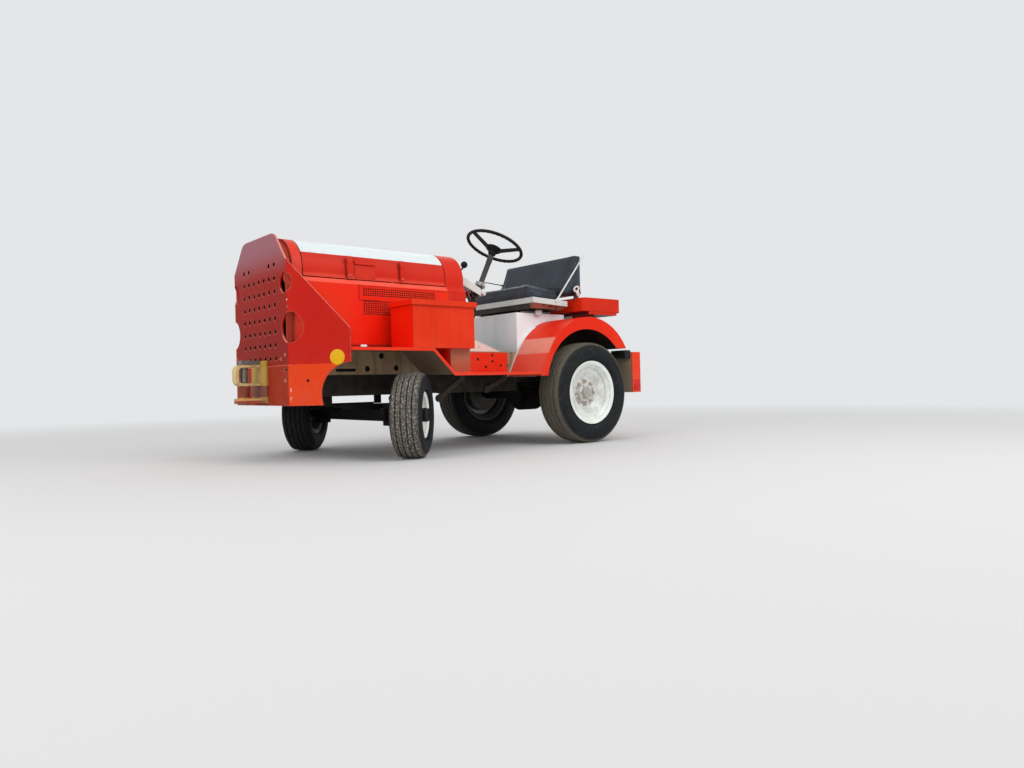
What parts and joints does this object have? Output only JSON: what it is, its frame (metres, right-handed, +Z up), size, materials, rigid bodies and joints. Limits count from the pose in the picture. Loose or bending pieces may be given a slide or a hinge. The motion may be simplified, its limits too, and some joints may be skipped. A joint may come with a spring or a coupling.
{
  "type": "airport baggage tug",
  "caption": "Open airport tow tractor with a perforated front guard, long hood, bench seat, side toolbox, steered front wheels and tow hitches.",
  "frame": {"origin": "on the ground under the middle of the bounding box", "axes": "+Z up, -Y towards the front of the tug, +X towards its left side"},
  "size_m": [1.6046, 2.95, 1.5009],
  "materials": {
    "paint_orange": "worn satin enamel",
    "paint_white": "worn enamel",
    "paint_grey": "light grey enamel",
    "paint_beige": "dusty undercoat",
    "paint_black": "chassis black",
    "paint_yellow": "worn yellow enamel",
    "rim_white": "wheel enamel",
    "tyre_rubber": "dusty rubber",
    "vinyl_black": "black vinyl",
    "grip_black": "moulded black grip",
    "bare_steel": "bare worn steel",
    "cast_grey": "cast iron"
  },
  "bodies": {
    "root": {"main_frame": "paint_beige", "front_guard": "paint_orange", "front_cowl": "paint_orange", "engine_side_left": "paint_orange", "engine_side_right": "paint_orange", "rear_cowl": "paint_orange", "step_left": "paint_orange", "step_right": "paint_orange", "toolbox": "paint_orange", "dash_panel": "paint_white", "toe_board": "paint_white", "steering_column": "paint_black", "controls": "paint_black", "seat_box": "paint_grey", "seat_pan": "paint_white", "seat_cushion": "vinyl_black", "seat_back": "vinyl_black", "seat_stays": "paint_white", "rear_deck": "paint_orange", "rear_fender_left": "paint_orange", "rear_fender_right": "paint_orange", "rear_bumper": "paint_orange", "engine": "cast_grey", "radiator": "paint_black", "front_axle": "paint_black", "leaf_springs": "paint_black", "rear_axle": "paint_black", "front_hitch": "paint_yellow", "front_hitch_pin": "bare_steel", "rear_hitch": "paint_black"},
    "hood": {"hood_cover": "paint_orange"},
    "box_lid": {"toolbox_lid": "paint_orange"},
    "hand_wheel": {"steering_wheel": "grip_black"},
    "left_knuckle": {"knuckle_left": "paint_black"},
    "right_knuckle": {"knuckle_right": "paint_black"},
    "track_rod": {"tie_rod": "paint_black"},
    "left_front_wheel": {"tyre_front_left": "tyre_rubber", "rim_front_left": "rim_white"},
    "right_front_wheel": {"tyre_front_right": "tyre_rubber", "rim_front_right": "rim_white"},
    "left_rear_wheel": {"tyre_rear_left": "tyre_rubber", "rim_rear_left": "rim_white"},
    "right_rear_wheel": {"tyre_rear_right": "tyre_rubber", "rim_rear_right": "rim_white"}
  },
  "joints": [
    {"name": "steer_left", "type": "hinge", "parent": "root", "child": "left_knuckle", "pos_m": [0.5, -0.695, 0.256], "axis": [0, 0, 1], "range_deg": [-90, 0]},
    {"name": "steer_right", "type": "hinge", "parent": "root", "child": "right_knuckle", "pos_m": [-0.5, -0.695, 0.256], "axis": [0, 0, 1], "range_deg": [-90, 0]},
    {"name": "track_rod_swing", "type": "hinge", "parent": "left_knuckle", "child": "track_rod", "pos_m": [0.41515, -0.61015, 0.22], "axis": [0, 0, 1], "range_deg": [0, 90]},
    {"name": "hand_wheel_turn", "type": "hinge", "parent": "root", "child": "hand_wheel", "pos_m": [0.26, 0.284, 1.378], "axis": [0, 0.4384, 0.8988], "range_deg": [-900, 0]},
    {"name": "spin_front_left", "type": "hinge", "parent": "left_knuckle", "child": "left_front_wheel", "pos_m": [0.57071, -0.62429, 0.256], "axis": [0.7071, 0.7071, 0], "continuous": true},
    {"name": "spin_front_right", "type": "hinge", "parent": "right_knuckle", "child": "right_front_wheel", "pos_m": [-0.57071, -0.76571, 0.256], "axis": [0.7071, 0.7071, 0], "continuous": true},
    {"name": "spin_rear_left", "type": "hinge", "parent": "root", "child": "left_rear_wheel", "pos_m": [0.608, 0.795, 0.355], "axis": [1, 0, 0], "continuous": true},
    {"name": "spin_rear_right", "type": "hinge", "parent": "root", "child": "right_rear_wheel", "pos_m": [-0.608, 0.795, 0.355], "axis": [1, 0, 0], "continuous": true},
    {"name": "hood_hinge", "type": "hinge", "parent": "root", "child": "hood", "pos_m": [-0.346, -0.6925, 1.079], "axis": [0, -1, 0], "range_deg": [0, 75]},
    {"name": "lid_hinge", "type": "hinge", "parent": "root", "child": "box_lid", "pos_m": [0.404, -0.435, 0.9313], "axis": [0, -1, 0], "range_deg": [0, 95]}
  ],
  "couplings": [
    {"joint": "steer_right", "follows": "steer_left", "ratio": 1},
    {"joint": "track_rod_swing", "follows": "steer_left", "ratio": -1},
    {"joint": "hand_wheel_turn", "follows": "steer_left", "ratio": 10}
  ]
}
